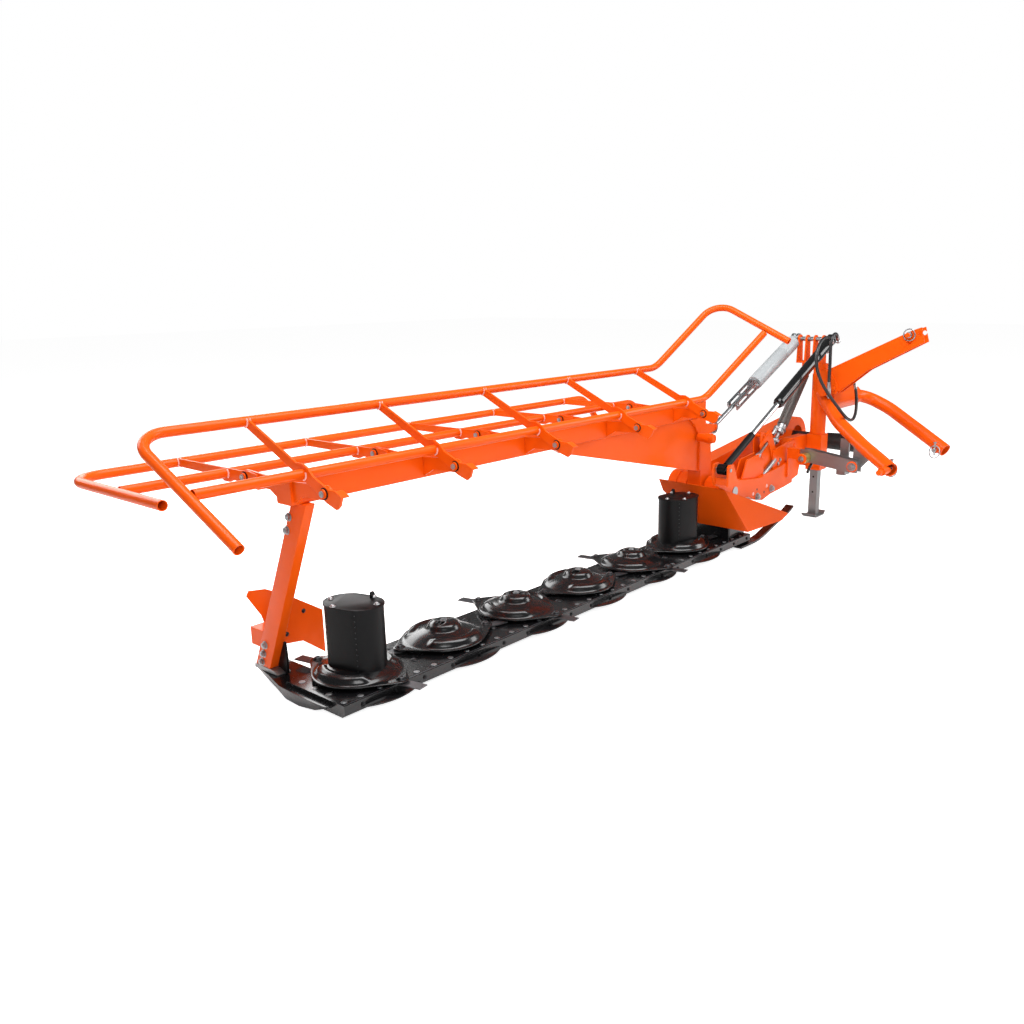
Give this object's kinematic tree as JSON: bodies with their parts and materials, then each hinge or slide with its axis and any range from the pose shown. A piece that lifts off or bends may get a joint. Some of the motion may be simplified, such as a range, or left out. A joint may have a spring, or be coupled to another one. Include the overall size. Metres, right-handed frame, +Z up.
{
  "type": "disc mower",
  "caption": "Side-mounted disc mower on a three-point frame: cutter bar of oval discs with drums, folding guard frames, lift cylinder, parking stand.",
  "frame": {"origin": "on the ground under the middle of the overall box", "axes": "+X along the cutter bar from the outer shoe to the hitch frame, +Y to the rear of the machine (away from the tractor), +Z up"},
  "size_m": [4.4499, 1.5348, 1.2795],
  "materials": {
    "orange_paint": "gloss",
    "black_paint": "gloss",
    "zinc": "satin",
    "grey_coil": "satin",
    "chrome": "polished",
    "raw_steel": "satin",
    "black_plastic": "matte",
    "blade_steel": "satin"
  },
  "bodies": {
    "hitch": {"hitch_post": "orange_paint", "near_arm": "orange_paint", "far_arm": "orange_paint", "top_arm": "orange_paint", "hitch_pins": "orange_paint", "latch_link": "raw_steel", "hoses": "black_plastic"},
    "swing": {"king_shaft": "raw_steel", "mast_head": "orange_paint", "mast_pin": "zinc", "pivot_block": "orange_paint", "carrier_beam": "orange_paint", "carrier_fittings": "orange_paint", "belt_cover": "orange_paint", "shaft_guard": "black_plastic", "float_spring": "grey_coil", "float_rod": "zinc"},
    "stand": {"stand_leg": "raw_steel"},
    "cutter": {"cutter_bar": "black_paint", "skid_lobes": "black_paint", "outer_shoe": "black_paint", "inner_shoe": "black_paint", "main_beam": "orange_paint", "haunch": "orange_paint", "inner_post": "orange_paint", "gear_column": "black_paint", "fork_plates": "orange_paint", "front_brackets": "orange_paint", "rear_brackets": "orange_paint", "outer_leg": "orange_paint", "swath_board": "orange_paint", "drive_hood": "orange_paint", "lift_pins": "zinc"},
    "front_guard": {"front_outer_rail": "orange_paint", "front_inner_rail": "orange_paint", "front_guard_bars": "orange_paint"},
    "rear_guard": {"rear_outer_rail": "orange_paint", "rear_inner_rail": "orange_paint", "rear_guard_bars": "orange_paint"},
    "cylinder": {"cylinder_barrel": "black_paint"},
    "cylinder_rod": {"cylinder_rod": "chrome", "rod_sleeve": "black_paint", "rod_eye": "black_paint"},
    "relief": {"relief_spring": "grey_coil", "relief_clevis": "zinc"},
    "relief_rod": {"relief_rod": "zinc"},
    "rotor_1": {"disc_1": "black_paint", "knives_1": "blade_steel"},
    "rotor_2": {"disc_2": "black_paint", "knives_2": "blade_steel"},
    "rotor_3": {"disc_3": "black_paint", "knives_3": "blade_steel"},
    "rotor_4": {"disc_4": "black_paint", "knives_4": "blade_steel"},
    "rotor_5": {"disc_5": "black_paint", "knives_5": "blade_steel"},
    "rotor_6": {"disc_6": "black_paint", "knives_6": "blade_steel"}
  },
  "joints": [
    {"name": "breakaway_swing", "type": "hinge", "parent": "hitch", "child": "swing", "pos_m": [1.748, -0.094, 0.5], "axis": [0, 0, -1], "range_deg": [0, 30]},
    {"name": "stand_slide", "type": "slide", "parent": "swing", "child": "stand", "axis": [0, 0, 1], "range_m": [0, 0.12]},
    {"name": "lift", "type": "hinge", "parent": "swing", "child": "cutter", "pos_m": [0.735, 0.011, 0.33], "axis": [0, 1, 0], "range_deg": [-15, 20]},
    {"name": "front_guard_fold", "type": "hinge", "parent": "cutter", "child": "front_guard", "pos_m": [-0.605, -0.124, 0.778], "axis": [1, 0, 0], "range_deg": [0, 156]},
    {"name": "rear_guard_fold", "type": "hinge", "parent": "cutter", "child": "rear_guard", "pos_m": [-0.605, 0.313, 0.778], "axis": [1, 0, 0], "range_deg": [0, 70]},
    {"name": "cylinder_tilt", "type": "hinge", "parent": "swing", "child": "cylinder", "pos_m": [1.748, -0.149, 1.062], "axis": [0, 1, 0], "range_deg": [-1.14, 1.5]},
    {"name": "cylinder_stroke", "type": "slide", "parent": "cylinder", "child": "cylinder_rod", "axis": [-0.9013, 0, -0.4331], "range_m": [-0.0789, 0.0592]},
    {"name": "relief_tilt", "type": "hinge", "parent": "swing", "child": "relief", "pos_m": [1.748, 0.071, 1.062], "axis": [0, 1, 0], "range_deg": [-4.17, 3.14]},
    {"name": "relief_slide", "type": "slide", "parent": "relief", "child": "relief_rod", "axis": [-0.9145, 0, -0.4047], "range_m": [-0.0841, 0.0631]},
    {"name": "disc_1_turn", "type": "hinge", "parent": "cutter", "child": "rotor_1", "pos_m": [-1.605, 0.051, 0.1], "axis": [0, 0, 1], "continuous": true},
    {"name": "disc_2_turn", "type": "hinge", "parent": "cutter", "child": "rotor_2", "pos_m": [-1.195, 0.051, 0.1], "axis": [0, 0, 1], "continuous": true},
    {"name": "disc_3_turn", "type": "hinge", "parent": "cutter", "child": "rotor_3", "pos_m": [-0.785, 0.051, 0.1], "axis": [0, 0, 1], "continuous": true},
    {"name": "disc_4_turn", "type": "hinge", "parent": "cutter", "child": "rotor_4", "pos_m": [-0.375, 0.051, 0.1], "axis": [0, 0, 1], "continuous": true},
    {"name": "disc_5_turn", "type": "hinge", "parent": "cutter", "child": "rotor_5", "pos_m": [0.035, 0.051, 0.1], "axis": [0, 0, 1], "continuous": true},
    {"name": "disc_6_turn", "type": "hinge", "parent": "cutter", "child": "rotor_6", "pos_m": [0.445, 0.051, 0.1], "axis": [0, 0, 1], "continuous": true}
  ],
  "couplings": [
    {"joint": "cylinder_tilt", "follows": "lift", "ratio": 0.07249},
    {"joint": "cylinder_stroke", "follows": "lift", "m_per_rad": -0.22536},
    {"joint": "relief_tilt", "follows": "lift", "ratio": -0.2059},
    {"joint": "relief_slide", "follows": "lift", "m_per_rad": -0.24009},
    {"joint": "disc_2_turn", "follows": "disc_1_turn", "ratio": -1},
    {"joint": "disc_3_turn", "follows": "disc_1_turn", "ratio": 1},
    {"joint": "disc_4_turn", "follows": "disc_1_turn", "ratio": -1},
    {"joint": "disc_5_turn", "follows": "disc_1_turn", "ratio": 1},
    {"joint": "disc_6_turn", "follows": "disc_1_turn", "ratio": -1}
  ]
}
